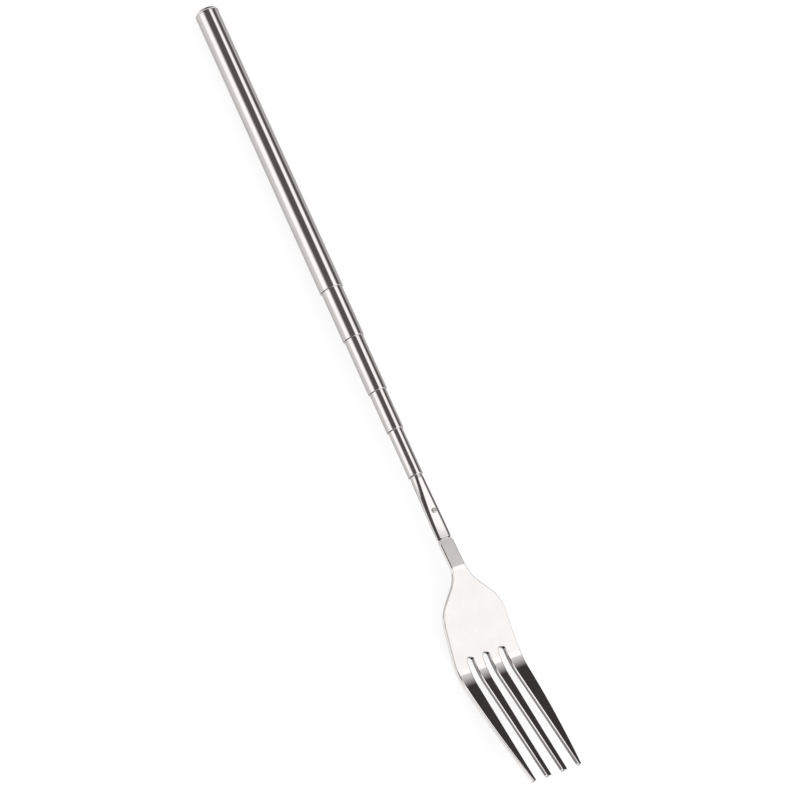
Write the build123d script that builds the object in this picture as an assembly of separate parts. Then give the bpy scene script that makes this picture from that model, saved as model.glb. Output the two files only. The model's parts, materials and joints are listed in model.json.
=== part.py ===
from build123d import *

import math
import os

# A telescopic roasting fork of six steel tubes and a stamped four-tine head, part way out and lying
# on its back. Sizes are in millimetres. Everything is first built around the tubes' common axis:
# X runs from the handle to the tines and is 0 at the handle's mouth, and Z points out of the hollow
# side of the fork. At the end the whole fork is tilted so that it lies on the ground.

# Tubes
HANDLE_LENGTH = 110.4
HANDLE_DIAMETER = 8.5
DIAMETER_STEP = 0.8       # how much slimmer each section is than the one around it
WALL = 0.25
RUNNING_GAP = 0.03        # radial, between a section and the lip or neck that guides it
SECTION_NUMBERS = [2, 3, 4, 5, 6]
LAST = SECTION_NUMBERS[-1]
REST_EXTENSIONS = {2: 19.0, 3: 20.7, 4: 14.9, 5: 17.4}   # how far each mouth stands out of the last
CLOSED_EXTENSION = 1.5    # the same when the fork is pushed in

# Rolled lip at the mouth of each tube that holds another
LIP_LENGTH = 0.9
LIP_ROUND = 0.3
LIP_ROUND_STEP = 15       # degrees

# Swaged neck at the rear end of each sliding section, with a pair of friction shims in its groove
REAR_RIM = 1.0
SWAGE_SLOPE = 0.4
GROOVE_DEPTH = 0.12
SHIM_LENGTH = 6.0
SHIM_BORE_GAP = 0.02      # radial, to the tube that the shims rub in
SHIM_SPLIT = 0.3          # between the two halves
AXIAL_GAP = 0.1

# End cap
CAP_RIM = 0.35
CAP_HEIGHT = 2.1
CAP_DOME_STEPS = 12
PLUG_LENGTH = 8.0
PLUG_GAP = 0.02

# Flattened front end of the last section
FLARE_START = 0.9         # beyond the mouth of section 5, at rest
FLAT_END = 95.4
FLAT_WIDTH = 5.5
FLAT_THICKNESS = 2.7
FLAT_EXPONENT = 2.5       # of the superellipse that the flattened section is; a circle has 2
FLARE_QUICKNESS = 0.7     # under 1, more of the flattening comes early along the flare
FLARE_CLEARANCE = 1.6     # how far section 6 still goes in before its flare would rub the lip
FLARE_STEPS = 14
SECTION_POINTS = 48

# Fork head, stamped from one sheet
SHEET = 1.75
HEAD_RIVET_X = 85.5
TANG_START = 80.5
TANG_WIDTH = 3.0
NECK_START = FLAT_END + AXIAL_GAP
NECK_CORNER_LENGTH = 1.7
NECK_CORNER_CUT = 0.7
NECK_WIDTH = 5.6
NECK_KICK_X = 97.5        # where the neck starts to rise
NECK_KICK_RADIUS = 15.0
NECK_CREST_X = 108.1
NECK_CREST_HEIGHT = 0.41
NECK_CREST_RADIUS = 16.0
BOWL_X = 140.5
BOWL_DEPTH = 7.9
BOWL_RADIUS = 23.0
TIP_X = 184.2
TIP_HEIGHT = 3.5
DISH_RADIUS = 150.0       # across the head
DISH_ANGLE = 14.0

# Outline of the head seen from above, as half widths
SHOULDER_START = (109.6, NECK_WIDTH / 2)
SHOULDER_END = (120.5, 12.4)
SHOULDER_RADII = (10.7, 13.0)
WIDEST = (138.0, 13.25)
OUTER_EDGE_MIDDLE = (161.1, 12.42)
OUTER_TIP = (TIP_X, 9.9)

# Slots between the tines
SLOT_PITCH = 6.58
SLOT_COUNT = 3
SLOT_ROOT_X = 137.3
SLOT_ROOT_RADIUS = 1.35
SLOT_TIP_HALF_WIDTH = 2.42

# Rivet through the flattened end and the tang
RIVET_SHANK_RADIUS = 0.6
RIVET_HEAD_RADIUS = 0.95
RIVET_HEAD_HEIGHT = 0.3
RIVET_GAP = 0.02

# Values that follow
GROOVE_LENGTH = SHIM_LENGTH + 2 * AXIAL_GAP
NECK_END = REAR_RIM + SWAGE_SLOPE + GROOVE_LENGTH + SWAGE_SLOPE
SHIM_START = REAR_RIM + SWAGE_SLOPE + AXIAL_GAP
PLUG_FACE = -HANDLE_LENGTH + PLUG_LENGTH
CLOSED_REAR_STEP = NECK_END + AXIAL_GAP - SHIM_START       # a section's rear end ahead of the last's
OPEN_REAR_STEP = SHIM_START + SHIM_LENGTH + AXIAL_GAP + LIP_LENGTH   # its rear end behind the mouth


def outer_radius(number):
    """Outer radius of a tube; the handle is number 1."""
    return (HANDLE_DIAMETER - DIAMETER_STEP * (number - 1)) / 2


def bore_radius(number):
    return outer_radius(number) - WALL


def rest_mouth(number):
    """X of a tube's mouth at rest."""
    return sum(REST_EXTENSIONS[k] for k in SECTION_NUMBERS if k <= number)


def closed_rear(number):
    """X of a section's rear end with the fork pushed in as far as it goes."""
    return PLUG_FACE + AXIAL_GAP + CLOSED_REAR_STEP * (number - 2)


def section_length(number):
    return CLOSED_EXTENSION * (number - 1) - closed_rear(number)


def rest_rear(number):
    """X of a section's rear end at rest."""
    if number == LAST:
        return rest_rear(LAST - 1) + CLOSED_REAR_STEP + FLARE_CLEARANCE
    return rest_mouth(number) - section_length(number)


def slide_range(number):
    """How far a section goes in and out from rest, in millimetres."""
    if number == 2:
        innermost = PLUG_FACE + AXIAL_GAP
    else:
        innermost = rest_rear(number - 1) + CLOSED_REAR_STEP
    outermost = rest_mouth(number - 1) - OPEN_REAR_STEP
    return innermost - rest_rear(number), outermost - rest_rear(number)


def revolved(points):
    """A solid turned around the tubes' axis from (x, radius) points."""
    outline = Polyline(*[(x, 0, radius) for x, radius in points], close=True)
    return revolve(make_face(outline), Axis.X)


def lip_outline(number, mouth):
    """Outer edge, rounded end and inner face of a rolled lip, from back to front to back."""
    radius = outer_radius(number)
    lip_radius = outer_radius(number + 1) + RUNNING_GAP
    rounding = [
        (
            mouth - LIP_ROUND + LIP_ROUND * math.sin(math.radians(angle)),
            radius - LIP_ROUND + LIP_ROUND * math.cos(math.radians(angle)),
        )
        for angle in range(0, 90 + LIP_ROUND_STEP, LIP_ROUND_STEP)
    ]
    back = mouth - LIP_LENGTH
    return rounding + [(mouth, lip_radius), (back, lip_radius), (back, bore_radius(number))]


def neck_outline(rear, radius):
    """The swaged rear end of a section along its outer or inner wall, from front to back."""
    low = radius - GROOVE_DEPTH
    slope_start = rear + REAR_RIM
    return [
        (rear + NECK_END, radius),
        (rear + NECK_END - SWAGE_SLOPE, low),
        (slope_start + SWAGE_SLOPE, low),
        (slope_start, radius),
        (rear, radius),
    ]


def handle_tube():
    rear = -HANDLE_LENGTH
    return revolved(
        [(rear, outer_radius(1))] + lip_outline(1, 0.0) + [(rear, bore_radius(1))]
    )


def sliding_tube(number):
    """Sections 2 to 5: a swaged neck behind and a rolled lip in front."""
    rear = rest_rear(number)
    outside = neck_outline(rear, outer_radius(number))
    inside = neck_outline(rear, bore_radius(number))
    return revolved(outside[::-1] + lip_outline(number, rest_mouth(number)) + inside)


def flare_section(x, share, inset):
    """Closed cross-section at x, from round (share 0) to flattened (share 1), inset by a wall."""
    round_radius = outer_radius(LAST)
    half_width = round_radius + share * (FLAT_WIDTH / 2 - round_radius) - inset
    half_height = flat_height(x) - inset
    power = 2 / (2 + share * (FLAT_EXPONENT - 2))
    points = []
    for step in range(SECTION_POINTS):
        angle = 2 * math.pi * step / SECTION_POINTS
        y = math.copysign(abs(math.cos(angle)) ** power, math.cos(angle)) * half_width
        z = math.copysign(abs(math.sin(angle)) ** power, math.sin(angle)) * half_height
        points.append((x, y, z))
    return make_face(Spline(*points, periodic=True))


def flare_start():
    return rest_mouth(LAST - 1) + FLARE_START


def flattening(x):
    """0 where section 6 is round, and rising smoothly to 1 at its front end."""
    along = min(max((x - flare_start()) / (FLAT_END - flare_start()), 0.0), 1.0)
    return (1 - math.cos(math.pi * along**FLARE_QUICKNESS)) / 2


def flat_height(x):
    """Half the outer height of section 6."""
    return outer_radius(LAST) + flattening(x) * (FLAT_THICKNESS / 2 - outer_radius(LAST))


def flared_end(inset):
    """Solid inside the flare's outer wall, or with an inset inside its inner wall."""
    sections = []
    for step in range(FLARE_STEPS + 1):
        x = flare_start() + (FLAT_END - flare_start()) * step / FLARE_STEPS
        sections.append(flare_section(x, flattening(x), inset))
    return loft(sections)


def last_tube():
    """Section 6: a swaged neck behind, flattened in front around the head's tang."""
    rear = rest_rear(LAST)
    outside = neck_outline(rear, outer_radius(LAST))
    inside = neck_outline(rear, bore_radius(LAST))
    corners = [(flare_start(), outer_radius(LAST)), (flare_start(), bore_radius(LAST))]
    round_part = revolved(outside[::-1] + corners + inside)
    flared_part = flared_end(0.0) - flared_end(WALL)
    rivet_hole = Pos(HEAD_RIVET_X, 0, 0) * Cylinder(RIVET_SHANK_RADIUS + RIVET_GAP, HANDLE_DIAMETER)
    return round_part + flared_part - rivet_hole


def shim(number, side):
    """Half of the friction sleeve in a section's groove: side is 1 above or -1 below."""
    inner = outer_radius(number) - GROOVE_DEPTH + RUNNING_GAP
    outer = bore_radius(number - 1) - SHIM_BORE_GAP
    start = rest_rear(number) + SHIM_START
    end = start + SHIM_LENGTH
    sleeve = revolved([(start, inner), (start, outer), (end, outer), (end, inner)])
    half_space = Box(2 * SHIM_LENGTH, 4 * outer, 2 * outer)
    return sleeve & Pos((start + end) / 2, 0, side * (outer + SHIM_SPLIT / 2)) * half_space


def end_cap():
    """Half-elliptical dome that closes the butt, with a plug pressed into the handle."""
    rim_radius = outer_radius(1)
    rim_back = -HANDLE_LENGTH - CAP_RIM
    dome_height = CAP_HEIGHT - CAP_RIM
    dome = []
    for step in range(CAP_DOME_STEPS + 1):
        angle = math.pi / 2 * step / CAP_DOME_STEPS
        dome.append((rim_back - dome_height * math.cos(angle), rim_radius * math.sin(angle)))
    plug_radius = bore_radius(1) - PLUG_GAP
    front = [
        (-HANDLE_LENGTH, rim_radius),
        (-HANDLE_LENGTH, plug_radius),
        (PLUG_FACE, plug_radius),
        (PLUG_FACE, 0),
    ]
    return revolved(dome + front)


def sheet_profile():
    """Side view of the head: a flat tang, a slight rise, a bend down to the bowl and one up to the tips."""
    middle = [
        Vector(TANG_START, 0),
        Vector(NECK_KICK_X, 0),
        Vector(NECK_CREST_X, NECK_CREST_HEIGHT),
        Vector(BOWL_X, -BOWL_DEPTH),
        Vector(TIP_X, TIP_HEIGHT),
    ]
    radii = (NECK_KICK_RADIUS, NECK_CREST_RADIUS, BOWL_RADIUS)
    turns = (1, -1, 1)
    edges = []
    for side in (1, -1):
        offset_points = []
        for index, point in enumerate(middle):
            before = middle[max(index - 1, 0)]
            after = middle[min(index + 1, len(middle) - 1)]
            ahead = (after - point if index < len(middle) - 1 else point - before).normalized()
            behind = (point - before if index > 0 else after - point).normalized()
            bisector = (ahead + behind).normalized()
            normal = Vector(-bisector.Y, bisector.X)
            offset = point + normal * (side * SHEET / 2 / bisector.dot(ahead))
            offset_points.append((offset.X, 0, offset.Y))
        side_radii = [radius - turn * side * SHEET / 2 for radius, turn in zip(radii, turns)]
        edges.append(FilletPolyline(*offset_points, radius=side_radii))
    upper, lower = edges
    ends = [Line(upper @ 0, lower @ 0), Line(upper @ 1, lower @ 1)]
    return make_face([*upper.edges(), *lower.edges(), *ends])


def head_outline():
    """The head seen from above, before the slots are cut."""
    corner = NECK_START + NECK_CORNER_LENGTH
    shoulder = FilletPolyline(
        (corner, NECK_WIDTH / 2), SHOULDER_START, SHOULDER_END, WIDEST, radius=list(SHOULDER_RADII)
    )
    tine_edge = ThreePointArc(WIDEST, OUTER_EDGE_MIDDLE, OUTER_TIP)
    neck = Polyline(
        (TANG_START, 0),
        (TANG_START, TANG_WIDTH / 2),
        (NECK_START, TANG_WIDTH / 2),
        (NECK_START, NECK_WIDTH / 2 - NECK_CORNER_CUT),
        (corner, NECK_WIDTH / 2),
    )
    tip = Line(OUTER_TIP, (TIP_X, 0))
    centre_line = Line((TIP_X, 0), (TANG_START, 0))
    half = make_face([*neck.edges(), *shoulder.edges(), tine_edge, tip, centre_line])
    return half + mirror(half, Plane.XZ)


def slot(middle_y):
    """A gap between two tines: a round root that opens towards the tips."""
    past_tips = TIP_X + SLOT_TIP_HALF_WIDTH
    spread = (SLOT_TIP_HALF_WIDTH - SLOT_ROOT_RADIUS) / (TIP_X - SLOT_ROOT_X)
    mouth_half_width = SLOT_ROOT_RADIUS + spread * (past_tips - SLOT_ROOT_X)
    sides = Polyline(
        (SLOT_ROOT_X, middle_y - SLOT_ROOT_RADIUS),
        (past_tips, middle_y - mouth_half_width),
        (past_tips, middle_y + mouth_half_width),
        (SLOT_ROOT_X, middle_y + SLOT_ROOT_RADIUS),
        close=True,
    )
    return make_face(sides) + Pos(SLOT_ROOT_X, middle_y) * Circle(SLOT_ROOT_RADIUS)


def fork_head():
    """The outline cut from a sheet that is bent along its length and slightly dished across."""
    dish_axis = Axis((0, 0, DISH_RADIUS), (1, 0, 0))
    profile = sheet_profile().rotate(dish_axis, -DISH_ANGLE / 2)
    sheet = revolve(profile, dish_axis, DISH_ANGLE)
    outline = head_outline()
    for index in range(SLOT_COUNT):
        outline -= slot((index - (SLOT_COUNT - 1) / 2) * SLOT_PITCH)
    reach = 2 * HANDLE_DIAMETER
    stamped = sheet & (Pos(0, 0, -reach) * extrude(outline, 2 * reach, dir=(0, 0, 1)))
    return stamped - Pos(HEAD_RIVET_X, 0, 0) * Cylinder(RIVET_SHANK_RADIUS + RIVET_GAP, reach)


def rivet():
    """Round-headed rivet across the flattened tube, closed with the same head on both sides."""
    seat = flat_height(HEAD_RIVET_X - RIVET_HEAD_RADIUS) + RIVET_GAP / 2
    head_radius = (RIVET_HEAD_RADIUS**2 + RIVET_HEAD_HEIGHT**2) / (2 * RIVET_HEAD_HEIGHT)
    solid = Cylinder(RIVET_SHANK_RADIUS, 2 * seat)
    for side in (1, -1):
        ball = Pos(0, 0, side * (seat + RIVET_HEAD_HEIGHT - head_radius)) * Sphere(head_radius)
        slab = Pos(0, 0, side * (seat + RIVET_HEAD_HEIGHT)) * Box(
            4 * RIVET_HEAD_RADIUS, 4 * RIVET_HEAD_RADIUS, 2 * RIVET_HEAD_HEIGHT
        )
        solid += ball & slab
    return Pos(HEAD_RIVET_X, 0, 0) * solid


def build():
    """Every piece by its name, on the tubes' common axis."""
    pieces = {"handle_tube": handle_tube(), "end_cap": end_cap()}
    for number in SECTION_NUMBERS:
        tube = last_tube() if number == LAST else sliding_tube(number)
        pieces[f"section_{number}_tube"] = tube
        pieces[f"section_{number}_upper_shim"] = shim(number, 1)
        pieces[f"section_{number}_lower_shim"] = shim(number, -1)
    pieces["fork_head"] = fork_head()
    pieces["rivet"] = rivet()
    return pieces


def resting_tilt():
    """Angle in degrees about Y that lays the cap's rim and the back of the bowl on the ground."""
    bend = math.atan2(BOWL_DEPTH + NECK_CREST_HEIGHT, BOWL_X - NECK_CREST_X)
    rise = math.atan2(BOWL_DEPTH + TIP_HEIGHT, TIP_X - BOWL_X)
    half_turn = (bend + rise) / 2
    centre_lift = BOWL_RADIUS / math.cos(half_turn)
    lean = (rise - bend) / 2
    centre_x = BOWL_X - centre_lift * math.sin(lean)
    centre_z = -BOWL_DEPTH + centre_lift * math.cos(lean)
    back_radius = BOWL_RADIUS + SHEET / 2
    rim_x = -HANDLE_LENGTH - CAP_RIM
    rim_z = -outer_radius(1)
    distance = math.hypot(centre_x - rim_x, centre_z - rim_z)
    return math.degrees(math.asin(back_radius / distance) - math.atan2(centre_z - rim_z, centre_x - rim_x))


def resting_place(pieces):
    """The move that lays the fork down, with the middle of its underside at the origin."""
    tilt = Rot(0, -resting_tilt(), 0)
    box = Compound(children=[tilt * piece for piece in pieces.values()]).bounding_box()
    return Pos(-(box.min.X + box.max.X) / 2, 0, -box.min.Z) * tilt


def main():
    os.makedirs("parts", exist_ok=True)
    pieces = build()
    place = resting_place(pieces)
    for name, piece in pieces.items():
        export_step(place * piece, f"parts/{name}.step")


if __name__ == "__main__":
    main()
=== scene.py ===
import json
import math

import bmesh
import bpy
from mathutils import Matrix, Vector
from mathutils.geometry import delaunay_2d_cdt

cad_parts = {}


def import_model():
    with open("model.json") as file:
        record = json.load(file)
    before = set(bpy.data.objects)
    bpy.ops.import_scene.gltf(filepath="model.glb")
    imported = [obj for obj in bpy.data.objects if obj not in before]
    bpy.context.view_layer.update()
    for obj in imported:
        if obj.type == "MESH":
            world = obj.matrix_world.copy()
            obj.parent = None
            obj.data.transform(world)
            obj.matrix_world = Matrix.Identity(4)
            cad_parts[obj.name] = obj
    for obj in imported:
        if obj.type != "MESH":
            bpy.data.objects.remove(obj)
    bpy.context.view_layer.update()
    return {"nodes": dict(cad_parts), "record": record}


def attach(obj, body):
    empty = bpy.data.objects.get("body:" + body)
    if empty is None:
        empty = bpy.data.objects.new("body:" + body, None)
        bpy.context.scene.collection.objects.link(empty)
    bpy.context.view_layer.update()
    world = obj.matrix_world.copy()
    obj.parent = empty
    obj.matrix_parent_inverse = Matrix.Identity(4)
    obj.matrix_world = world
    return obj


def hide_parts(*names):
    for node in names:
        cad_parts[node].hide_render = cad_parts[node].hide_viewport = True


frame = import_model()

# The looks of a telescopic roasting fork, in metres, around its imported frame. The fork's lengths named
# here are in millimetres and are measured along and around the tubes' common axis: X runs from the handle
# to the tines and is 0 at the handle's mouth, and Z points out of the hollow side of the fork. The lengths
# of the camera's and the studio's sections are in metres, in the frame's own axes.
MM = 0.001

# Tubes
SEGMENTS = 160            # round a tube
WALL = 0.25
LIP_LENGTH = 0.9
LIP_ROUND = 0.34          # the edge that is rolled in at a tube's mouth
LIP_GAP = 0.03            # to the tube that slides in the lip
ROUND_STEPS = 8           # in a quarter of a rounded rim
SUPPORT_GAP = 0.1         # a ring this far before a rounding keeps the plain stretch straight
REAR_RIM = 1.0
SWAGE_SLOPE = 0.4
GROOVE_LENGTH = 6.2
GROOVE_DEPTH = 0.12
END_CHAMFER = 0.08
CREASE = math.radians(40.0)   # edges sharper than this stay sharp

# End cap
CAP_RIM = 0.35
CAP_DOME_HEIGHT = 1.75
CAP_SHOULDER = 0.16       # the dome starts this far in from the rim's own edge
CAP_SEAM = 0.14           # depth of the groove between the cap and the handle
CAP_PLUG = 8.0
CAP_PLUG_GAP = 0.02
DOME_STEPS = 28

# Flattened end of the last section
FLARE_START = 72.9
FLARE_END = 95.4
FLAT_WIDTH = 5.5
FLAT_THICKNESS = 2.7
FLAT_EXPONENT = 2.5
FLARE_QUICKNESS = 0.7     # under 1, more of the flattening comes early along the flare
FLARE_STEP = 0.25
FLAT_RIM = 0.07           # rounding of the cut end

# Fork head
SHEET = 1.75
EDGE_ROUND = 0.42
TIP_EDGE_ROUND = 0.2
TINE_TAPER = 16.0         # over this length before the tips the edges get sharper
EDGE_STEPS = 7
EDGE_RINGS = EDGE_STEPS + 1
TANG_START = 80.5
TANG_HALF_WIDTH = 1.5
TANG_CORNER = 0.3
TANG_ROOT_CORNER = 0.05   # where the tang widens into the neck
NECK_START = 95.5
NECK_HALF_WIDTH = 2.8
TIP_X = 184.2
TIP_HEIGHT = 3.5
SIDE_VIEW_BENDS = [       # corner, radius, and 1 for a bend up or -1 for a bend down
    ((96.2, 0.0), 15.0, 1),
    ((108.1, 0.41), 16.0, -1),
    ((140.5, -7.9), 23.0, 1),
]
DISH_RADIUS = 150.0
NECK_CORNERS = [(NECK_START, 2.1, 0.1), (97.2, NECK_HALF_WIDTH, 0.8)]     # x, half width, radius
SHOULDERS = [(109.6, NECK_HALF_WIDTH, 10.7), (120.5, 12.4, 13.0)]
WIDEST = (138.0, 13.25)
OUTER_EDGE_MIDDLE = (161.1, 12.42)
OUTER_TIP = (TIP_X, 9.9)
TIP_CORNER = 0.3
SLOT_PITCH = 6.58
SLOT_ROOT_X = 137.3
SLOT_ROOT_RADIUS = 1.35
SLOT_ROOT_STEPS = 12
SLOT_TIP_HALF_WIDTH = 2.42
OUTLINE_STEP = 0.4
GRID_STEP = 0.8           # between the points inside the outline

# Rivet
RIVET_X = 85.5
RIVET_HEAD_RADIUS = 0.95
RIVET_HEAD_HEIGHT = 0.3
RIVET_SHANK_RADIUS = 0.6
RIVET_DIMPLE_RADIUS = 0.5
RIVET_DIMPLE_DEPTH = 0.2
RIVET_SEAT_GAP = 0.01
RIVET_SEGMENTS = 64

# Camera
CAMERA_TIP = math.radians(12.8)       # the tines' end leans towards the camera
CAMERA_TURN = math.radians(33.0)      # round the fork's axis, from straight above to the -Y side
CAMERA_LEAN = math.radians(24.395)    # of the fork in the picture
CAMERA_DISTANCE = 1.2
CAMERA_SIDESTEP = (0.02354, -0.03787)   # right and up, from in front of the handle's mouth
CAMERA_LENS = 156.3                     # focal length in mm
CAMERA_REACH = 50.0

# Textures of the metals: detail per metre, and how much longer the drawing lines are than wide
DRAWN_LINES = 9000.0
LINE_STRETCH = 0.012
CLOUDS = 160.0
PITS = 2600.0
STAIN = 0.06              # how much darker the clouds get

# Studio
TENT_SEGMENTS = 128
TUBE_TENT = (0.15, -1.6, 0.0075)        # radius, and its ends along the fork
HEAD_TENT = (4.0, -12.0, 12.0)
CAP_TENT = (0.008, -0.2, -0.148)
BUTT_HEIGHT = 0.0043                    # of the tubes' axis at the butt, above the floor
FLOOR_REACH = 6.0
FLOOR_GREY = 0.2
FLOOR_GLOW = 0.83


# ---------------------------------------------------------------- the fork's own axes, from the frame

record = frame["record"]
grip = next(mount for mount in record["mounts"] if mount["name"] == "handle_grip")
ALONG = -Vector(grip["axis"]).normalized()
ACROSS = Vector((0, 1, 0))
UP = ALONG.cross(ACROSS)
GRIP_POINT = Vector(grip["pos_m"])


def span(node):
    """How far a CAD node reaches along the axis from the grip point, and its largest radius, in mm."""
    offsets = [vertex.co - GRIP_POINT for vertex in frame["nodes"][node].data.vertices]
    reach = [offset.dot(ALONG) for offset in offsets]
    radius = max((offset - ALONG * offset.dot(ALONG)).length for offset in offsets)
    return min(reach) / MM, max(reach) / MM, radius / MM


MOUTH = GRIP_POINT + ALONG * span("handle_tube")[1] * MM
MOUTH_FROM_GRIP = span("handle_tube")[1]


def place(x, y, z):
    """A point given in mm on the fork's own axes, in metres in the shared frame."""
    return MOUTH + (ALONG * x + ACROSS * y + UP * z) * MM


def direction(x, y, z):
    """A direction given on the fork's own axes, in the shared frame."""
    return ALONG * x + ACROSS * y + UP * z


# ---------------------------------------------------------------- meshes

def new_object(name, data):
    """An object in the scene that shows a mesh or a camera."""
    made = bpy.data.objects.new(name, data)
    bpy.context.scene.collection.objects.link(made)
    return made


def new_piece(name, points, faces, normals=None):
    """A smooth-shaded mesh from points on the fork's own axes, with given normals if there are any."""
    mesh = bpy.data.meshes.new(name)
    mesh.from_pydata([place(*point) for point in points], [], faces)
    mesh.validate()
    mesh.polygons.foreach_set("use_smooth", [True] * len(mesh.polygons))
    if normals is not None:
        turned = [direction(*normal).normalized() for normal in normals]
        mesh.normals_split_custom_set_from_vertices(turned)
    return new_object(name, mesh)


def ring_faces(ring_count, segments, closed):
    """Quads between rings of points; a closed skin also joins the last ring to the first."""
    faces = []
    for ring in range(ring_count if closed else ring_count - 1):
        following = (ring + 1) % ring_count
        for step in range(segments):
            beside = (step + 1) % segments
            faces.append(
                (
                    ring * segments + step,
                    ring * segments + beside,
                    following * segments + beside,
                    following * segments + step,
                )
            )
    return faces


def turned_piece(name, profile, centre=(0.0, 0.0, 0.0), axis="x", segments=SEGMENTS):
    """A closed lathe mesh. The (distance along the axis, radius) profile is a closed loop, or starts and
    ends on the axis."""
    solid = profile[0][1] == 0 and profile[-1][1] == 0
    rings = profile[1:-1] if solid else profile
    points = []
    for along, radius in rings:
        for step in range(segments):
            angle = 2 * math.pi * step / segments
            points.append((along, radius * math.cos(angle), radius * math.sin(angle)))
    faces = ring_faces(len(rings), segments, not solid)
    if solid:
        first, last = len(points), len(points) + 1
        points += [(profile[0][0], 0, 0), (profile[-1][0], 0, 0)]
        back = (len(rings) - 1) * segments
        for step in range(segments):
            beside = (step + 1) % segments
            faces.append((first, beside, step))
            faces.append((last, back + step, back + beside))
    if axis == "z":
        points = [(y, z, x) for x, y, z in points]
    points = [tuple(a + b for a, b in zip(point, centre)) for point in points]
    return outward(new_piece(name, points, faces))


def outward(piece):
    """Turns a closed mesh's faces outward, and keeps its sharp edges sharp."""
    work = bmesh.new()
    work.from_mesh(piece.data)
    bmesh.ops.recalc_face_normals(work, faces=work.faces)
    work.to_mesh(piece.data)
    work.free()
    piece.data.polygons.foreach_set("use_smooth", [True] * len(piece.data.polygons))
    piece.data.set_sharp_from_angle(angle=CREASE)
    return piece


def quarter(centre_x, centre_r, radius):
    """Points of a quarter circle in a profile's plane, from straight out to straight ahead."""
    points = []
    for step in range(ROUND_STEPS + 1):
        angle = math.radians(90 * step / ROUND_STEPS)
        points.append((centre_x + radius * math.sin(angle), centre_r + radius * math.cos(angle)))
    return points


def swaged_neck(rear, radius):
    """Outline of a sliding section's rear end from back to front, with the groove for its shims."""
    low = radius - GROOVE_DEPTH
    groove_start = rear + REAR_RIM + SWAGE_SLOPE
    return [
        (rear, radius - END_CHAMFER),
        (rear + END_CHAMFER, radius),
        (rear + REAR_RIM, radius),
        (groove_start, low),
        (groove_start + GROOVE_LENGTH, low),
        (groove_start + GROOVE_LENGTH + SWAGE_SLOPE, radius),
        (groove_start + GROOVE_LENGTH + 2 * SWAGE_SLOPE, radius),
    ]


def rolled_mouth(mouth, radius, inner_tube_radius):
    """Outline of a tube's mouth: rolled in over the edge, then back along the lip to the bore."""
    lip_radius = inner_tube_radius + LIP_GAP
    edge = [(mouth - LIP_ROUND - SUPPORT_GAP, radius)]
    edge += quarter(mouth - LIP_ROUND, radius - LIP_ROUND, LIP_ROUND)
    back = mouth - LIP_LENGTH
    return edge + [(mouth, lip_radius), (back, lip_radius), (back, radius - WALL)]


def tube(name, node, inside_node, sliding):
    """One of the nested tubes, from its CAD node's own ends and diameter."""
    rear, mouth, radius = span(node)
    rear, mouth = rear - MOUTH_FROM_GRIP, mouth - MOUTH_FROM_GRIP
    inner_radius = round_radius(inside_node)
    if sliding:
        outside = swaged_neck(rear, radius)
        inside = [(x, r - WALL) for x, r in reversed(swaged_neck(rear, radius))]
        inside[-1] = (rear, radius - WALL)        # the chamfer is only on the outside
    else:
        outside = [(rear, radius - END_CHAMFER), (rear + END_CHAMFER, radius)]
        outside.append((rear + END_CHAMFER + SUPPORT_GAP, radius))
        inside = [(rear, radius - WALL)]
    piece = turned_piece(name, outside + rolled_mouth(mouth, radius, inner_radius) + inside)
    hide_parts(node)
    return piece


def round_radius(node):
    """Radius of a tube over its round stretch, which for the last section is not its widest."""
    rear, _, _ = span(node)
    limit = rear + 3 * GROOVE_LENGTH
    radii = []
    for vertex in frame["nodes"][node].data.vertices:
        offset = vertex.co - GRIP_POINT
        along = offset.dot(ALONG)
        if along / MM < limit:
            radii.append((offset - ALONG * along).length)
    return max(radii) / MM


def end_cap():
    """Half-elliptical dome, with a fine seam where it meets the handle and a plug inside."""
    _, _, radius = span("end_cap")
    back = -(span("handle_tube")[1] - span("handle_tube")[0])
    rim_back = back - CAP_RIM
    dome_radius = radius - CAP_SHOULDER
    dome = []
    for step in range(DOME_STEPS + 1):
        angle = math.pi / 2 * step / DOME_STEPS
        dome.append((rim_back - CAP_DOME_HEIGHT * math.cos(angle), dome_radius * math.sin(angle)))
    plug = radius - WALL - CAP_PLUG_GAP
    rim = [(rim_back, radius - END_CHAMFER), (rim_back + END_CHAMFER, radius)]
    seam = [(back - CAP_SEAM, radius), (back - CAP_SEAM / 2, radius - CAP_SEAM), (back, plug)]
    tail = [(back + CAP_PLUG, plug), (back + CAP_PLUG, 0)]
    piece = turned_piece("end_cap_domed", dome + rim + seam + tail)
    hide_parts("end_cap")
    return piece


def last_tube():
    """Section 6: round behind, pressed flat around the head's tang in front."""
    rear, front, _ = span("section_6_tube")
    rear, front = rear - MOUTH_FROM_GRIP, front - MOUTH_FROM_GRIP
    radius = round_radius("section_6_tube")
    stations = [(x, r - radius) for x, r in swaged_neck(rear, radius)]
    x = FLARE_START
    while x < front - FLAT_RIM:
        stations.append((x, 0.0))
        x += FLARE_STEP
    rim = []
    for step in range(ROUND_STEPS + 1):
        angle = math.pi / 2 * step / ROUND_STEPS
        rim.append((front - FLAT_RIM + FLAT_RIM * math.sin(angle), -FLAT_RIM * (1 - math.cos(angle))))
    inside = [(x, offset - WALL) for x, offset in reversed(stations)]
    loop = stations + rim + [(front, -WALL)] + inside
    points = []
    for x, offset in loop:
        points += flattened_ring(x, radius, offset)
    piece = outward(new_piece("section_6_pressed_tube", points, ring_faces(len(loop), SEGMENTS, True)))
    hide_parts("section_6_tube")
    return piece


def flattening(x):
    """0 where section 6 is round, and rising smoothly to 1 at its front end."""
    along = min(max((x - FLARE_START) / (FLARE_END - FLARE_START), 0.0), 1.0)
    return (1 - math.cos(math.pi * along**FLARE_QUICKNESS)) / 2


def flat_height(x, radius):
    """Half the height of section 6 at x, from its round radius."""
    return radius + flattening(x) * (FLAT_THICKNESS / 2 - radius)


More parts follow.
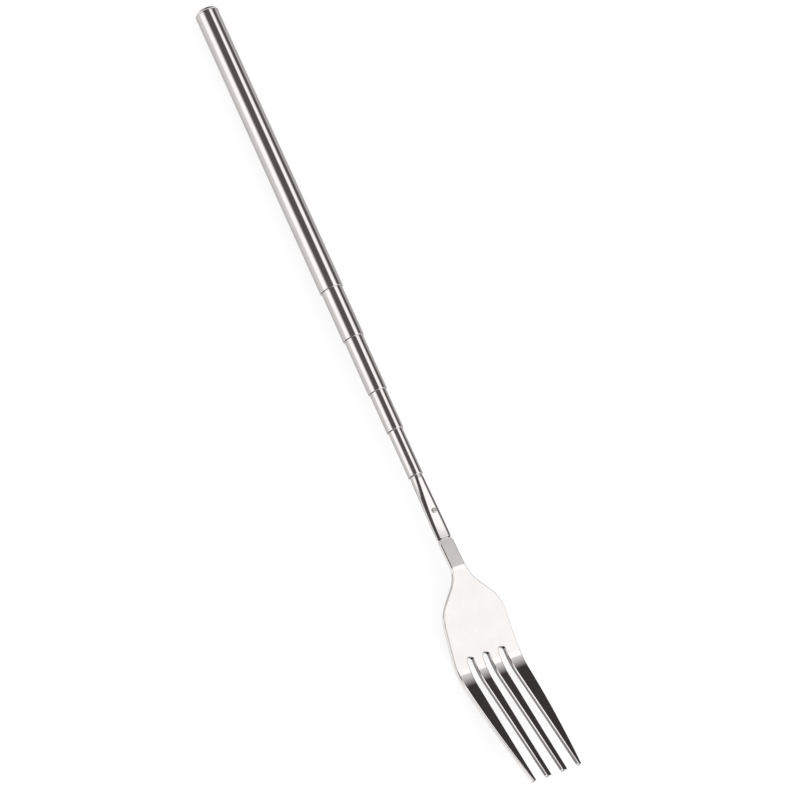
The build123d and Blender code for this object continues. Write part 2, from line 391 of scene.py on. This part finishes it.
def flattened_ring(x, radius, offset):
    """Cross-section at x: round up to the flare, then a superellipse that gets flatter."""
    share = flattening(x)
    half_width = radius + share * (FLAT_WIDTH / 2 - radius) + offset
    half_height = flat_height(x, radius) + offset
    power = 2 / (2 + share * (FLAT_EXPONENT - 2))
    ring = []
    for step in range(SEGMENTS):
        angle = 2 * math.pi * step / SEGMENTS
        cosine, sine = math.cos(angle), math.sin(angle)
        y = math.copysign(abs(cosine) ** power, cosine) * half_width
        z = math.copysign(abs(sine) ** power, sine) * half_height
        ring.append((x, y, z))
    return ring


# ---------------------------------------------------------------- the stamped head

CORNERS = [(TANG_START, 0.0)] + [bend[0] for bend in SIDE_VIEW_BENDS] + [(TIP_X, TIP_HEIGHT)]
SLOPES = [math.atan2(end[1] - start[1], end[0] - start[0]) for start, end in zip(CORNERS, CORNERS[1:])]


def sheet_surface(x, height):
    """Z and slope of the sheet at x, on the surface that lies height above its middle."""
    for index, (corner, radius, side) in enumerate(SIDE_VIEW_BENDS):
        before, after = SLOPES[index], SLOPES[index + 1]
        half_turn = abs(after - before) / 2
        middle_slope = (before + after) / 2
        to_centre = radius / math.cos(half_turn)
        centre_x = corner[0] - side * to_centre * math.sin(middle_slope)
        centre_z = corner[1] + side * to_centre * math.cos(middle_slope)
        reach = radius - side * height
        low_x = centre_x + side * reach * math.sin(before)
        high_x = centre_x + side * reach * math.sin(after)
        if x < low_x:
            return line_surface(index, x, height)
        if x <= high_x:
            drop = math.sqrt(reach**2 - (x - centre_x) ** 2)
            return centre_z - side * drop, side * (x - centre_x) / drop
    return line_surface(len(SIDE_VIEW_BENDS), x, height)


def line_surface(index, x, height):
    """The same on one of the straight stretches between the bends."""
    slope = math.tan(SLOPES[index])
    start = CORNERS[index]
    return start[1] + slope * (x - start[0]) + height / math.cos(SLOPES[index]), slope


def dished(x, y, height):
    """Point and upward normal of the dished sheet above a place (x, y) of its outline."""
    z, slope = sheet_surface(x, height)
    arm = DISH_RADIUS - z
    drop = math.sqrt(arm**2 - y**2)
    return (x, y, DISH_RADIUS - drop), Vector((-arm * slope / drop, -y / drop, 1)).normalized()


def rounded_path(corners):
    """Points along straight runs from (x, y, radius) corners, rounded at all but the two ends."""
    points = [Vector(corners[0][:2])]
    for before, corner, after in zip(corners, corners[1:], corners[2:]):
        here = Vector(corner[:2])
        back = (Vector(before[:2]) - here).normalized()
        ahead = (Vector(after[:2]) - here).normalized()
        half = back.angle(ahead) / 2
        cut = corner[2] / math.tan(half)
        steps = max(4, int((math.pi - 2 * half) * corner[2] / OUTLINE_STEP))
        centre = here + (back + ahead).normalized() * (corner[2] / math.sin(half))
        start = here + back * cut - centre
        turn = start.angle_signed(here + ahead * cut - centre)
        for step in range(steps + 1):
            angle = turn * step / steps
            points.append(centre + Matrix.Rotation(-angle, 2) @ start)
    points.append(Vector(corners[-1][:2]))
    return points


def arc_through(first, middle, last):
    """Points of the circle through three points."""
    a, b, c = Vector(first), Vector(middle), Vector(last)
    to_b, to_c = b - a, c - a
    twice_area = 2 * (to_b.x * to_c.y - to_b.y * to_c.x)
    offset_x = (to_c.y * to_b.length_squared - to_b.y * to_c.length_squared) / twice_area
    offset_y = (to_b.x * to_c.length_squared - to_c.x * to_b.length_squared) / twice_area
    centre = a + Vector((offset_x, offset_y))
    turn = (a - centre).angle_signed(c - centre)
    steps = int(to_c.length / OUTLINE_STEP)
    return [centre + Matrix.Rotation(-turn * step / steps, 2) @ (a - centre) for step in range(steps + 1)]


def evenly(points):
    """The same path with no step longer than the outline's."""
    path = [points[0]]
    for point in points[1:]:
        gap = (point - path[-1]).length
        if gap < 1e-6:
            continue
        start = path[-1]
        for step in range(1, int(gap / OUTLINE_STEP) + 1):
            path.append(start.lerp(point, step / (int(gap / OUTLINE_STEP) + 1)))
        path.append(point)
    return path


def slot_root(middle):
    """The inner points of the half circle at the root of a slot, from its +Y side to its -Y side."""
    points = []
    for step in range(1, SLOT_ROOT_STEPS):
        angle = math.pi / 2 + math.pi * step / SLOT_ROOT_STEPS
        x = SLOT_ROOT_X + SLOT_ROOT_RADIUS * math.cos(angle)
        y = middle + SLOT_ROOT_RADIUS * math.sin(angle)
        points.append(Vector((x, y)))
    return points


def outer_side():
    """The +Y side of the head from the tang nearly to the tip, where the tip's corner needs its room."""
    corners = [
        (TANG_START, 0, 0),
        (TANG_START, TANG_HALF_WIDTH, TANG_CORNER),
        (NECK_START, TANG_HALF_WIDTH, TANG_ROOT_CORNER),
    ]
    corners += NECK_CORNERS + SHOULDERS + [(*WIDEST, 0)]
    tip = Vector(OUTER_TIP)
    edge = arc_through(WIDEST, OUTER_EDGE_MIDDLE, OUTER_TIP)[1:]
    return rounded_path(corners) + [point for point in edge if (point - tip).length > 2 * TIP_CORNER]


def head_outline():
    """The head seen from above as one closed loop, from the tang round by the +Y side and back."""
    side = outer_side()
    path = side
    tips = [(*side[-1], 0), (*OUTER_TIP, TIP_CORNER)]
    for middle in (SLOT_PITCH, 0.0, -SLOT_PITCH):
        tips.append((TIP_X, middle + SLOT_TIP_HALF_WIDTH, TIP_CORNER))
        tips.append((SLOT_ROOT_X, middle + SLOT_ROOT_RADIUS, 0))
        path = path + rounded_path(tips)[1:] + slot_root(middle)
        low_root = (SLOT_ROOT_X, middle - SLOT_ROOT_RADIUS, 0)
        path = path + [Vector(low_root[:2])]
        tips = [low_root, (TIP_X, middle - SLOT_TIP_HALF_WIDTH, TIP_CORNER)]
    mirrored = [Vector((point.x, -point.y)) for point in reversed(side)]
    tips += [(OUTER_TIP[0], -OUTER_TIP[1], TIP_CORNER), (*mirrored[0], 0)]
    path = path + rounded_path(tips)[1:] + mirrored[1:-1]
    return evenly(path)


def outline_normals(outline):
    """Outward normal at each point, lengthened so that moving along it keeps the edges parallel."""
    normals = []
    count = len(outline)
    for index in range(count):
        here = outline[index]
        before = (here - outline[index - 1]).normalized()
        after = (outline[(index + 1) % count] - here).normalized()
        tangent = (before + after).normalized()
        normals.append(Vector((-tangent.y, tangent.x)) / max(tangent.dot(before), 0.5))
    return normals


def edge_round(x):
    """Radius of the head's rounded edges, smaller where the tines get slim."""
    share = min(max((TIP_X - x) / TINE_TAPER, 0.0), 1.0)
    return TIP_EDGE_ROUND + (EDGE_ROUND - TIP_EDGE_ROUND) * share


def rounded_edges(outline, normals):
    """Rings of points over the rounded edges of both faces, each from the wall to the flat."""
    points, point_normals = [], []
    for face_side in (1, -1):
        for ring in range(EDGE_RINGS):
            angle = math.pi / 2 * ring / EDGE_STEPS
            for spot, sideways in zip(outline, normals):
                radius = edge_round(spot.x)
                inner = spot - sideways * (radius * (1 - math.cos(angle)))
                height = SHEET / 2 - radius * (1 - math.sin(angle))
                point, upward = dished(inner.x, inner.y, face_side * height)
                flat = Vector((*sideways, 0)).normalized()
                points.append(point)
                point_normals.append(flat * math.cos(angle) + upward * (face_side * math.sin(angle)))
    return points, point_normals


def edge_faces(outline):
    """Quads of the rounded edges and the wall between them, and the numbers of the slots' walls, cut by
    shearing, which get a colour darkened as painted shade.
    """
    count = len(outline)
    faces, shaded_slot_walls = [], []

    def strip(low, high, flip):
        for step in range(count):
            beside = (step + 1) % count
            quad = (low * count + step, low * count + beside, high * count + beside, high * count + step)
            faces.append(quad[::-1] if flip else quad)
            if low == EDGE_RINGS and in_slot(outline[step]):
                shaded_slot_walls.append(len(faces) - 1)

    for ring in range(EDGE_STEPS):
        strip(ring, ring + 1, True)
        strip(EDGE_RINGS + ring, EDGE_RINGS + ring + 1, False)
    strip(EDGE_RINGS, 0, True)
    return faces, shaded_slot_walls


def flat_faces(outline, normals, points, point_normals):
    """Triangles over both flat faces inside their rounded edges; their inner points join the lists."""
    count = len(outline)
    inner_ring = [spot - sideways * edge_round(spot.x) for spot, sideways in zip(outline, normals)]
    flat_points = inner_ring + grid_inside(inner_ring)
    edges = [(index, (index + 1) % count) for index in range(count)]
    cut_out = delaunay_2d_cdt(flat_points, edges, [list(range(count))], 1, 1e-7)
    vertices, _, triangles, sources = cut_out[:4]
    faces = []
    for face_side, last_ring in ((1, EDGE_RINGS - 1), (-1, 2 * EDGE_RINGS - 1)):
        numbers = []
        for index, vertex in enumerate(vertices):
            origin = sources[index][0] if sources[index] else -1
            if 0 <= origin < count:
                numbers.append(last_ring * count + origin)
                continue
            point, upward = dished(vertex.x, vertex.y, face_side * SHEET / 2)
            numbers.append(len(points))
            points.append(point)
            point_normals.append(upward * face_side)
        for triangle in triangles:
            corners = tuple(numbers[index] for index in triangle)
            faces.append(corners if face_side == 1 else corners[::-1])
    return faces


def grid_inside(ring):
    """Points of an even grid that lie inside a ring and not too near its corners."""
    points = []
    x = TANG_START
    while x < TIP_X:
        y = -WIDEST[1]
        while y < WIDEST[1]:
            candidate = Vector((x, y))
            if inside_ring(candidate, ring) and clear_of(candidate, ring):
                points.append(candidate)
            y += GRID_STEP
        x += GRID_STEP
    return points


def inside_ring(point, ring):
    """Whether a line from the point along X crosses the ring an odd number of times."""
    inside = False
    for first, second in zip(ring, ring[1:] + ring[:1]):
        if (first.y > point.y) != (second.y > point.y):
            share = (point.y - first.y) / (second.y - first.y)
            if point.x < first.x + share * (second.x - first.x):
                inside = not inside
    return inside


def clear_of(point, ring):
    """Whether a point is far enough from the ring's corners to give well shaped triangles."""
    nearest = min((point - corner).length_squared for corner in ring)
    return nearest > (0.5 * GRID_STEP) ** 2


def in_slot(point):
    """Whether a point of the outline is on the wall of a gap between tines."""
    if not SLOT_ROOT_X - SLOT_ROOT_RADIUS - OUTLINE_STEP < point.x < TIP_X - TIP_CORNER:
        return False
    return abs(point.y) < SLOT_PITCH + SLOT_TIP_HALF_WIDTH + OUTLINE_STEP / 4


def fork_head(polished, cut):
    """The stamped sheet, bent, dished and rounded at its edges, with rougher metal on the slots' sheared
    walls, its colour darkened as painted shade between the tines.
    """
    outline = head_outline()
    normals = outline_normals(outline)
    points, point_normals = rounded_edges(outline, normals)
    faces, shaded_slot_walls = edge_faces(outline)
    faces += flat_faces(outline, normals, points, point_normals)
    piece = new_piece("fork_head_stamped", points, faces, point_normals)
    piece.data.materials.append(polished)
    piece.data.materials.append(cut)
    # the slots' walls get the second metal: rougher, and darkened as painted shade between the tines
    for face in shaded_slot_walls:
        piece.data.polygons[face].material_index = 1
    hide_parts("fork_head")
    return piece


def rivet():
    """Both round heads with a shallow dimple, and the shank between them."""
    seat = flat_height(RIVET_X - RIVET_HEAD_RADIUS, round_radius("section_6_tube")) + RIVET_SEAT_GAP
    ball = (RIVET_HEAD_RADIUS**2 + RIVET_HEAD_HEIGHT**2) / (2 * RIVET_HEAD_HEIGHT)
    half_profile = []
    for step in range(DOME_STEPS + 1):
        radius = RIVET_HEAD_RADIUS * step / DOME_STEPS
        height = seat + RIVET_HEAD_HEIGHT - ball + math.sqrt(ball**2 - radius**2)
        share = max(0.0, 1 - (radius / RIVET_DIMPLE_RADIUS) ** 2)
        half_profile.append((height - RIVET_DIMPLE_DEPTH * share * share, radius))
    top = half_profile + [(seat, RIVET_SHANK_RADIUS)]
    bottom = [(-height, radius) for height, radius in reversed(top)]
    piece = turned_piece("rivet_dimpled", top + bottom, (RIVET_X, 0, 0), "z", RIVET_SEGMENTS)
    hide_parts("rivet")
    return piece


# ---------------------------------------------------------------- materials

class Graph:
    """Short forms for building a node tree."""

    def __init__(self, tree):
        self.tree = tree
        tree.nodes.clear()

    def add(self, kind, inputs=None, **settings):
        node = self.tree.nodes.new(kind)
        for name, value in settings.items():
            setattr(node, name, value)
        for socket, value in (inputs or {}).items():
            if isinstance(value, bpy.types.NodeSocket):
                self.tree.links.new(value, node.inputs[socket])
            else:
                node.inputs[socket].default_value = value
        return node

    def math(self, operation, first, second=0.0, third=0.0):
        return self.add("ShaderNodeMath", {0: first, 1: second, 2: third}, operation=operation).outputs[0]

    def rise(self, value, start, end, low=0.0, high=1.0):
        """Goes smoothly from low to high as the value goes from start to end."""
        sockets = {"Value": value, "From Min": start, "From Max": end, "To Min": low, "To Max": high}
        return self.add("ShaderNodeMapRange", sockets, interpolation_type="SMOOTHSTEP").outputs["Result"]

    def slope(self, value, start, end, low, high):
        """Goes evenly from low to high as the value goes from start to end."""
        sockets = {"Value": value, "From Min": start, "From Max": end, "To Min": low, "To Max": high}
        return self.add("ShaderNodeMapRange", sockets).outputs["Result"]

    def band(self, value, low_start, low_end, high_start, high_end):
        """1 between low_end and high_start, falling smoothly to 0 on either side."""
        opening = self.rise(value, low_start, low_end)
        closing = self.rise(value, high_start, high_end, 1.0, 0.0)
        return self.math("MULTIPLY", opening, closing)

    def towards(self, value, target, share):
        """The value moved towards a target value by a share."""
        gap = self.math("SUBTRACT", target, value)
        return self.math("ADD", value, self.math("MULTIPLY", gap, share))


def metal(name, colour, roughness, scratch_depth):
    """Polished metal with drawing lines along the fork, faint cloudiness and a slightly uneven gloss. The
    scratch depth is in mm."""
    material = bpy.data.materials.new(name)
    material.use_nodes = True
    graph = Graph(material.node_tree)
    place_on_piece = graph.add("ShaderNodeTexCoord").outputs["Object"]
    stretched = graph.add(
        "ShaderNodeMapping", {"Vector": place_on_piece, "Scale": (LINE_STRETCH, 1.0, 1.0)}
    ).outputs["Vector"]
    lines = graph.add(
        "ShaderNodeTexNoise", {"Vector": stretched, "Scale": DRAWN_LINES, "Detail": 3.0, "Roughness": 0.6}
    ).outputs["Fac"]
    clouds = graph.add(
        "ShaderNodeTexNoise",
        {"Vector": place_on_piece, "Scale": CLOUDS, "Detail": 4.0, "Roughness": 0.55},
    ).outputs["Fac"]
    pits = graph.add(
        "ShaderNodeTexNoise", {"Vector": place_on_piece, "Scale": PITS, "Detail": 2.0}
    ).outputs["Fac"]
    gloss = graph.rise(clouds, 0.3, 0.7, roughness * 0.7, roughness * 1.35)
    gloss = graph.math("ADD", gloss, graph.rise(lines, 0.45, 0.8, 0.0, roughness * 0.5))
    shade = graph.rise(clouds, 0.25, 0.75, 1.0 - STAIN, 1.0)
    tint = graph.add(
        "ShaderNodeVectorMath", {0: colour, "Scale": shade}, operation="SCALE"
    ).outputs["Vector"]
    height = graph.math("ADD", graph.math("MULTIPLY", lines, 0.7), graph.math("MULTIPLY", pits, 0.3))
    bump = graph.add(
        "ShaderNodeBump", {"Height": height, "Strength": 1.0, "Distance": scratch_depth * MM}
    ).outputs["Normal"]
    surface = graph.add(
        "ShaderNodeBsdfPrincipled",
        {"Base Color": tint, "Metallic": 1.0, "Roughness": gloss, "Normal": bump},
    )
    graph.add("ShaderNodeOutputMaterial", {"Surface": surface.outputs["BSDF"]})
    return material


def dress(piece, material, body=None):
    """Gives a piece its one material, and its body where one is named."""
    piece.data.materials.clear()
    piece.data.materials.append(material)
    if body:
        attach(piece, body)


# ---------------------------------------------------------------- the studio

def light_tent(name, size, cloth, height=0.0):
    """A tent round the fork's length, brighter and darker in places and seen only in reflections."""
    radius, rear, front = size
    points = []
    for end in (rear, front):
        for step in range(TENT_SEGMENTS):
            angle = 2 * math.pi * step / TENT_SEGMENTS
            points.append((end, radius * math.cos(angle), radius * math.sin(angle)))
    rear_wall = tuple(range(TENT_SEGMENTS))
    mesh = bpy.data.meshes.new(name)
    mesh.from_pydata(points, [], ring_faces(2, TENT_SEGMENTS, False) + [rear_wall])
    tent = new_object(name, mesh)
    tent.location.z = height
    tent.visible_camera = False
    tent.visible_diffuse = False
    tent.visible_shadow = False
    tent.visible_transmission = False
    material = bpy.data.materials.new(name + "_cloth")
    material.use_nodes = True
    graph = Graph(material.node_tree)
    spot = graph.add("ShaderNodeTexCoord").outputs["Object"]
    parts = graph.add("ShaderNodeSeparateXYZ", {"Vector": spot}).outputs
    # degrees round the tent from the +Y side over the top, from -90 straight down to 270
    turn = graph.math("MULTIPLY", graph.math("ARCTAN2", parts["Z"], parts["Y"]), 180 / math.pi)
    turn = graph.math("WRAP", turn, 270.0, -90.0)
    light = cloth(graph, parts["X"], turn)
    warmth = graph.rise(light, 0.1, 0.9)
    colour = graph.add("ShaderNodeMix", {0: warmth, 6: (1.0, 0.90, 0.91, 1.0), 7: (1.0, 0.99, 0.985, 1.0)})
    colour.data_type = "RGBA"
    glow = graph.add("ShaderNodeEmission", {"Color": colour.outputs[2], "Strength": light})
    graph.add("ShaderNodeOutputMaterial", {"Surface": glow.outputs["Emission"]})
    mesh.materials.append(material)


def tube_cloth(graph, along, turn):
    """Long strips of light and of dark cloth round the tubes, by their angle in degrees."""
    # pale cloth low down on both sides, with a strip light on the left
    light = graph.rise(turn, 262.0, 206.0, 0.72, 1.0)
    light = graph.towards(light, 0.62, graph.rise(turn, 24.0, 8.0))
    light = graph.towards(light, 1.65, graph.band(turn, 133.0, 160.0, 180.0, 202.0))
    # dark cloth on the right, and between it and the dark middle a strip light, wider towards the head
    right_edge = graph.math("ADD", turn, graph.slope(along, -0.2, 0.0, -3.0, 7.0))
    light = graph.towards(light, 0.14, graph.band(right_edge, 12.0, 30.0, 50.0, 63.0))
    strip = graph.math("MULTIPLY", graph.rise(right_edge, 55.0, 71.0), graph.rise(turn, 93.0, 81.0))
    light = graph.towards(light, 1.60, strip)
    # the dark middle
    return graph.towards(light, 0.14, graph.band(turn, 82.0, 95.0, 132.0, 158.0))


def cap_cloth(graph, along, turn):
    """A bright ring round the cap, and behind it a dark room with a bright side and a lamp."""
    room = graph.towards(0.03, 1.3, graph.rise(turn, 176.0, 190.0))
    lamp_width = graph.band(turn, -76.0, -68.0, -48.0, -40.0)
    lamp_length = graph.band(along, -0.1655, -0.163, -0.159, -0.157)
    room = graph.towards(room, 1.6, graph.math("MULTIPLY", lamp_width, lamp_length))
    ring_width = graph.band(turn, 0.0, 20.0, 250.0, 260.0)
    ring = graph.math("MULTIPLY", ring_width, graph.rise(along, -0.154, -0.1522))
    return graph.towards(room, 1.3, ring)


def head_cloth(graph, along, turn):
    """Bright over the bowl, greyer over the neck and dark over the tines, with dark cloth at the sides."""
    beside_pressed_tube = graph.rise(along, -0.1, -0.3)
    over_tines = graph.rise(along, -1.05, -1.2)
    # the left side, from the top down
    light = graph.towards(0.9, 0.10, beside_pressed_tube)
    light = graph.towards(light, 0.62, graph.rise(turn, 182.0, 196.0))
    light = graph.towards(light, 1.30, graph.rise(turn, 208.0, 226.0))
    light = graph.towards(light, 0.12, graph.rise(turn, 246.0, 258.0))
    # the right side
    right = graph.slope(beside_pressed_tube, 0.0, 1.0, 0.8, 0.22)
    right = graph.towards(right, 0.08, over_tines)
    light = graph.towards(light, right, graph.rise(turn, 56.0, 40.0))
    # overhead
    over = graph.rise(along, 0.0, -0.3, 1.52, 1.64)
    over = graph.towards(over, 0.92, graph.rise(along, -0.62, -0.78))
    over = graph.towards(over, 0.06, graph.slope(along, -0.92, -2.1, 0.0, 1.0))
    light = graph.towards(light, over, graph.band(turn, 26.0, 42.0, 96.0, 108.0))
    # a bright line along the edges of the tines
    edge_line = graph.math("MULTIPLY", over_tines, graph.band(turn, 86.0, 98.0, 200.0, 212.0))
    light = graph.towards(light, 1.80, edge_line)
    # far ahead, dark cloth that shows in the mouths of the tubes
    far_ahead = graph.math("MULTIPLY", graph.rise(along, 1.3, 1.6), graph.rise(turn, 84.0, 100.0))
    return graph.towards(light, 0.05, far_ahead)


def floor():
    """A white floor, so bright that only soft shadows show on it, and left out of the reflections."""
    size = FLOOR_REACH
    mesh = bpy.data.meshes.new("studio_floor")
    corners = [(-size, -size, 0), (size, -size, 0), (size, size, 0), (-size, size, 0)]
    mesh.from_pydata(corners, [], [(0, 1, 2, 3)])
    ground = new_object("studio_floor", mesh)
    material = bpy.data.materials.new("pale_floor")
    material.use_nodes = True
    graph = Graph(material.node_tree)
    grey = (FLOOR_GREY, FLOOR_GREY, FLOOR_GREY, 1.0)
    diffuse = graph.add("ShaderNodeBsdfDiffuse", {"Color": grey})
    glow = graph.add("ShaderNodeEmission", {"Color": (1.0, 1.0, 1.0, 1.0), "Strength": FLOOR_GLOW})
    both = graph.add("ShaderNodeAddShader", {0: diffuse.outputs[0], 1: glow.outputs[0]})
    graph.add("ShaderNodeOutputMaterial", {"Surface": both.outputs[0]})
    mesh.materials.append(material)
    ground.visible_glossy = False


def world():
    """Even white light from all round."""
    studio = bpy.data.worlds.new("studio_world")
    bpy.context.scene.world = studio
    studio.use_nodes = True
    graph = Graph(studio.node_tree)
    sky = graph.add("ShaderNodeBackground", {"Color": (1.0, 1.0, 1.0, 1.0), "Strength": 1.0})
    graph.add("ShaderNodeOutputWorld", {"Surface": sky.outputs["Background"]})


def camera():
    """Looks down on the fork from its -Y side, with the tines at the lower end of the picture."""
    tip, turn, lean = CAMERA_TIP, CAMERA_TURN, CAMERA_LEAN
    side = direction(0, math.cos(turn), math.sin(turn))
    down = direction(math.cos(tip), math.sin(turn) * math.sin(tip), -math.cos(turn) * math.sin(tip))
    back = direction(math.sin(tip), -math.sin(turn) * math.cos(tip), math.cos(turn) * math.cos(tip))
    right = side * math.cos(lean) + down * math.sin(lean)
    upward = side * math.sin(lean) - down * math.cos(lean)
    lens = bpy.data.cameras.new("camera")
    lens.lens = CAMERA_LENS
    lens.clip_end = CAMERA_REACH
    eye = new_object("camera", lens)
    spot = MOUTH + right * CAMERA_SIDESTEP[0] + upward * CAMERA_SIDESTEP[1] + back * CAMERA_DISTANCE
    frame_of_view = Matrix((right, upward, back)).transposed().to_4x4()
    eye.matrix_world = Matrix.Translation(spot) @ frame_of_view
    bpy.context.scene.camera = eye


# ---------------------------------------------------------------- the fork, dressed

def build():
    """Every new piece on its body, in its metal; the shims keep their CAD shapes and get brass, on no
    body.
    """
    tube_steel = metal("drawn_tube_steel", (0.63, 0.605, 0.60), 0.062, 0.0010)
    head_steel = metal("polished_sheet_steel", (0.64, 0.625, 0.618), 0.06, 0.0010)
    # the slots' sheared walls: rougher steel, with a colour far darker than steel as painted shade between
    # the tines
    sheared_steel_painted_shade = metal("sheared_edge_steel_painted_shade", (0.16, 0.155, 0.155), 0.22, 0.002)
    cap_steel = metal("pressed_cap_steel", (0.62, 0.59, 0.58), 0.06, 0.001)
    rivet_steel = metal("rivet_steel", (0.50, 0.47, 0.46), 0.16, 0.003)
    brass = metal("spring_brass", (0.72, 0.50, 0.20), 0.22, 0.004)

    handle = tube("handle_outer_tube", "handle_tube", "section_2_tube", sliding=False)
    dress(handle, tube_steel, "handle")
    dress(end_cap(), cap_steel, "handle")
    for number in (2, 3, 4, 5):
        section = f"section_{number}"
        next_tube = f"section_{number + 1}_tube"
        piece = tube(f"{section}_drawn_tube", f"{section}_tube", next_tube, sliding=True)
        dress(piece, tube_steel, section)
    dress(last_tube(), tube_steel, "fork")
    head = fork_head(head_steel, sheared_steel_painted_shade)
    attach(head, "fork")
    dress(rivet(), rivet_steel, "fork")
    for number in (2, 3, 4, 5, 6):
        for half in ("upper", "lower"):
            dress(frame["nodes"][f"section_{number}_{half}_shim"], brass)


build()
light_tent("tube_tent", TUBE_TENT, tube_cloth)
light_tent("head_tent", HEAD_TENT, head_cloth)
light_tent("cap_tent", CAP_TENT, cap_cloth, BUTT_HEIGHT)
floor()
world()
camera()

scene = bpy.context.scene
scene.view_settings.view_transform = "Standard"
scene.view_settings.look = "None"
